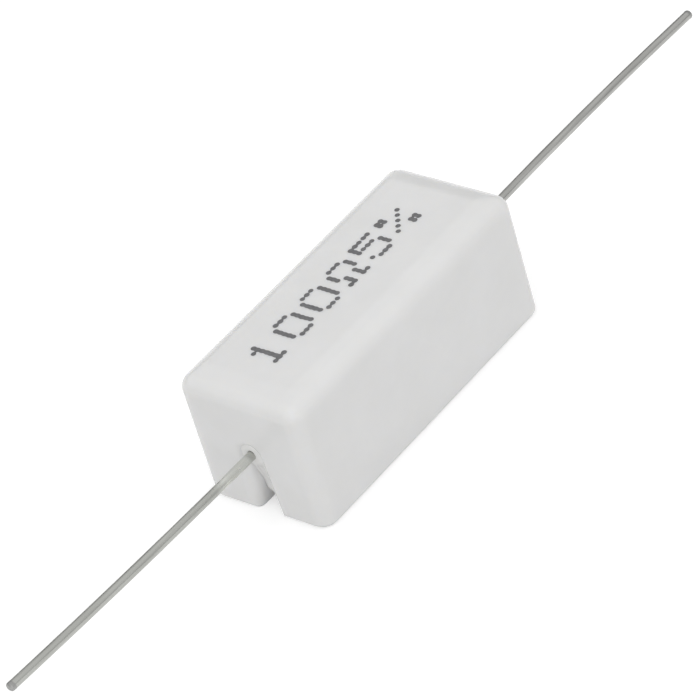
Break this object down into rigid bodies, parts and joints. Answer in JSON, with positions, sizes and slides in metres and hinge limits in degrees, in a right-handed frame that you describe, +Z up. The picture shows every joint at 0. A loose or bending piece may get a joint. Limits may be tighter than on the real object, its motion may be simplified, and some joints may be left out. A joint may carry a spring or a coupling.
{
  "type": "axial resistor",
  "caption": "Wire-wound power resistor in a white ceramic case with slotted ends, potted with cement, with a round tinned lead at each end.",
  "frame": {"origin": "middle of the plane that the case's rim rests on", "axes": "+Z up through the printed roof, +X along the element towards the far lead, +Y across the width"},
  "size_m": [0.0684, 0.0092, 0.009],
  "materials": {
    "case_ceramic": "fine unglazed white ceramic",
    "cement": "matte grey-white potting cement",
    "rod_ceramic": "unglazed",
    "resistance_alloy": "drawn wire",
    "cap_metal": "plated, satin",
    "tinned_wire": "dull tin plating"
  },
  "bodies": {
    "root": {"ceramic_case": "case_ceramic", "cement_fill": "cement", "core_rod": "rod_ceramic", "resistance_wire": "resistance_alloy", "near_cap": "cap_metal", "far_cap": "cap_metal", "near_lead": "tinned_wire", "far_lead": "tinned_wire"}
  },
  "joints": []
}
